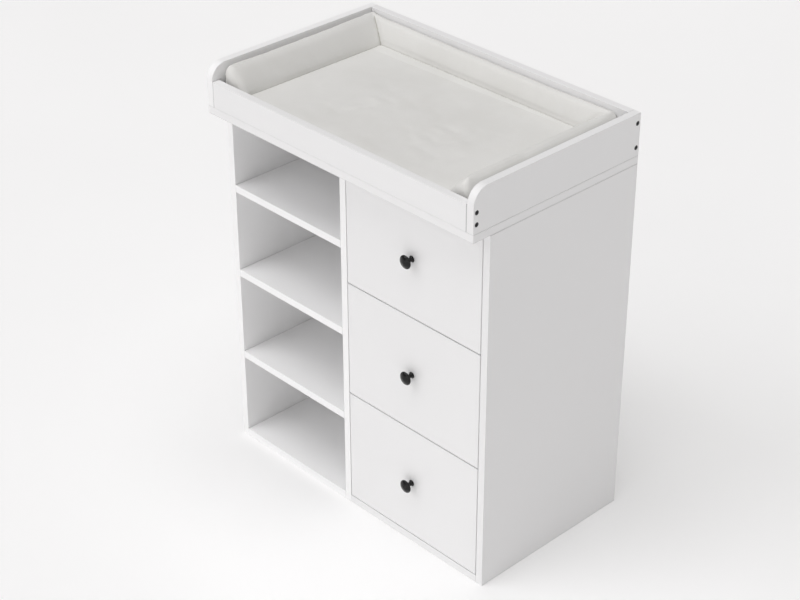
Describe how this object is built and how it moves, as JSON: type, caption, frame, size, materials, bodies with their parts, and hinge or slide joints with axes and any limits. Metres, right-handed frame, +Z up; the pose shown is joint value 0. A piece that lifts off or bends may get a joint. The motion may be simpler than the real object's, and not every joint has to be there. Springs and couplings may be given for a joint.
{
  "type": "changing dresser",
  "caption": "Changing dresser: cabinet with open shelves beside a stack of drawers on roller runners, a railed tray on its overhanging top and a lift-off contour pad.",
  "frame": {"origin": "centre of the overall footprint, on the floor", "axes": "+X to the object's right seen from the front (drawer side), -Y out of the front, +Z up"},
  "size_m": [0.8, 0.484, 0.984],
  "materials": {
    "white_board": "satin white melamine face and edge band",
    "white_sheet": "white-faced hardboard",
    "beech": "raw fluted beech",
    "zinc_fittings": "bright zinc plate",
    "black_screw": "black oxide",
    "black_knob": "gloss black",
    "white_runner_steel": "white epoxy powder coat",
    "roller_plastic": "moulded nylon",
    "bracket_steel": "white powder coat",
    "pad_cover": "soft wipe-clean coated cover over foam"
  },
  "bodies": {
    "cabinet": {"back_panel": "white_sheet", "cabinet_screws": "zinc_fittings", "cam_bolts": "zinc_fittings", "cam_discs": "zinc_fittings", "center_divider": "white_board", "left_bottom_panel": "white_board", "left_cabinet_runners": "white_runner_steel", "left_side_panel": "white_board", "lower_shelf": "white_board", "middle_shelf": "white_board", "right_bottom_panel": "white_board", "right_cabinet_runners": "white_runner_steel", "right_side_panel": "white_board", "top_board": "white_board", "tray_back_rail": "white_board", "tray_corner_screws": "black_screw", "tray_fixing_screws": "zinc_fittings", "tray_front_rail": "white_board", "tray_left_rail": "white_board", "tray_right_rail": "white_board", "upper_shelf": "white_board", "wall_brackets": "bracket_steel", "wood_dowels": "beech"},
    "drawer_1": {"drawer_1_back": "white_board", "drawer_1_bottom": "white_sheet", "drawer_1_cam_fittings": "zinc_fittings", "drawer_1_front": "white_board", "drawer_1_knob": "black_knob", "drawer_1_left_runner": "white_runner_steel", "drawer_1_left_side": "white_board", "drawer_1_right_runner": "white_runner_steel", "drawer_1_right_side": "white_board", "drawer_1_screws": "zinc_fittings"},
    "drawer_1_front_rollers": {"drawer_1_front_rollers": "roller_plastic"},
    "drawer_1_rear_rollers": {"drawer_1_rear_rollers": "roller_plastic"},
    "drawer_2": {"drawer_2_back": "white_board", "drawer_2_bottom": "white_sheet", "drawer_2_cam_fittings": "zinc_fittings", "drawer_2_front": "white_board", "drawer_2_knob": "black_knob", "drawer_2_left_runner": "white_runner_steel", "drawer_2_left_side": "white_board", "drawer_2_right_runner": "white_runner_steel", "drawer_2_right_side": "white_board", "drawer_2_screws": "zinc_fittings"},
    "drawer_2_front_rollers": {"drawer_2_front_rollers": "roller_plastic"},
    "drawer_2_rear_rollers": {"drawer_2_rear_rollers": "roller_plastic"},
    "drawer_3": {"drawer_3_back": "white_board", "drawer_3_bottom": "white_sheet", "drawer_3_cam_fittings": "zinc_fittings", "drawer_3_front": "white_board", "drawer_3_knob": "black_knob", "drawer_3_left_runner": "white_runner_steel", "drawer_3_left_side": "white_board", "drawer_3_right_runner": "white_runner_steel", "drawer_3_right_side": "white_board", "drawer_3_screws": "zinc_fittings"},
    "drawer_3_front_rollers": {"drawer_3_front_rollers": "roller_plastic"},
    "drawer_3_rear_rollers": {"drawer_3_rear_rollers": "roller_plastic"},
    "pad": {"changing_pad": "pad_cover"}
  },
  "joints": [
    {"name": "drawer_1_slide", "type": "slide", "parent": "cabinet", "child": "drawer_1", "axis": [0, -1, 0], "range_m": [0, 0.26]},
    {"name": "drawer_1_front_rollers_spin", "type": "hinge", "parent": "cabinet", "child": "drawer_1_front_rollers", "pos_m": [0.1825, -0.161, 0.6193], "axis": [1, 0, 0], "range_deg": [0, 1490]},
    {"name": "drawer_1_rear_rollers_spin", "type": "hinge", "parent": "drawer_1", "child": "drawer_1_rear_rollers", "pos_m": [0.1825, 0.162, 0.6193], "axis": [1, 0, 0], "range_deg": [0, 1490]},
    {"name": "drawer_2_slide", "type": "slide", "parent": "cabinet", "child": "drawer_2", "axis": [0, -1, 0], "range_m": [0, 0.26]},
    {"name": "drawer_2_front_rollers_spin", "type": "hinge", "parent": "cabinet", "child": "drawer_2_front_rollers", "pos_m": [0.1825, -0.161, 0.3363], "axis": [1, 0, 0], "range_deg": [0, 1490]},
    {"name": "drawer_2_rear_rollers_spin", "type": "hinge", "parent": "drawer_2", "child": "drawer_2_rear_rollers", "pos_m": [0.1825, 0.162, 0.3363], "axis": [1, 0, 0], "range_deg": [0, 1490]},
    {"name": "drawer_3_slide", "type": "slide", "parent": "cabinet", "child": "drawer_3", "axis": [0, -1, 0], "range_m": [0, 0.26]},
    {"name": "drawer_3_front_rollers_spin", "type": "hinge", "parent": "cabinet", "child": "drawer_3_front_rollers", "pos_m": [0.1825, -0.161, 0.0533], "axis": [1, 0, 0], "range_deg": [0, 1490]},
    {"name": "drawer_3_rear_rollers_spin", "type": "hinge", "parent": "drawer_3", "child": "drawer_3_rear_rollers", "pos_m": [0.1825, 0.162, 0.0533], "axis": [1, 0, 0], "range_deg": [0, 1490]},
    {"name": "pad_lift", "type": "slide", "parent": "cabinet", "child": "pad", "axis": [0, 0, 1], "range_m": [0, 0.2]}
  ],
  "couplings": [
    {"joint": "drawer_1_front_rollers_spin", "follows": "drawer_1_slide", "rad_per_m": 100},
    {"joint": "drawer_1_rear_rollers_spin", "follows": "drawer_1_slide", "rad_per_m": 100},
    {"joint": "drawer_2_front_rollers_spin", "follows": "drawer_2_slide", "rad_per_m": 100},
    {"joint": "drawer_2_rear_rollers_spin", "follows": "drawer_2_slide", "rad_per_m": 100},
    {"joint": "drawer_3_front_rollers_spin", "follows": "drawer_3_slide", "rad_per_m": 100},
    {"joint": "drawer_3_rear_rollers_spin", "follows": "drawer_3_slide", "rad_per_m": 100}
  ]
}
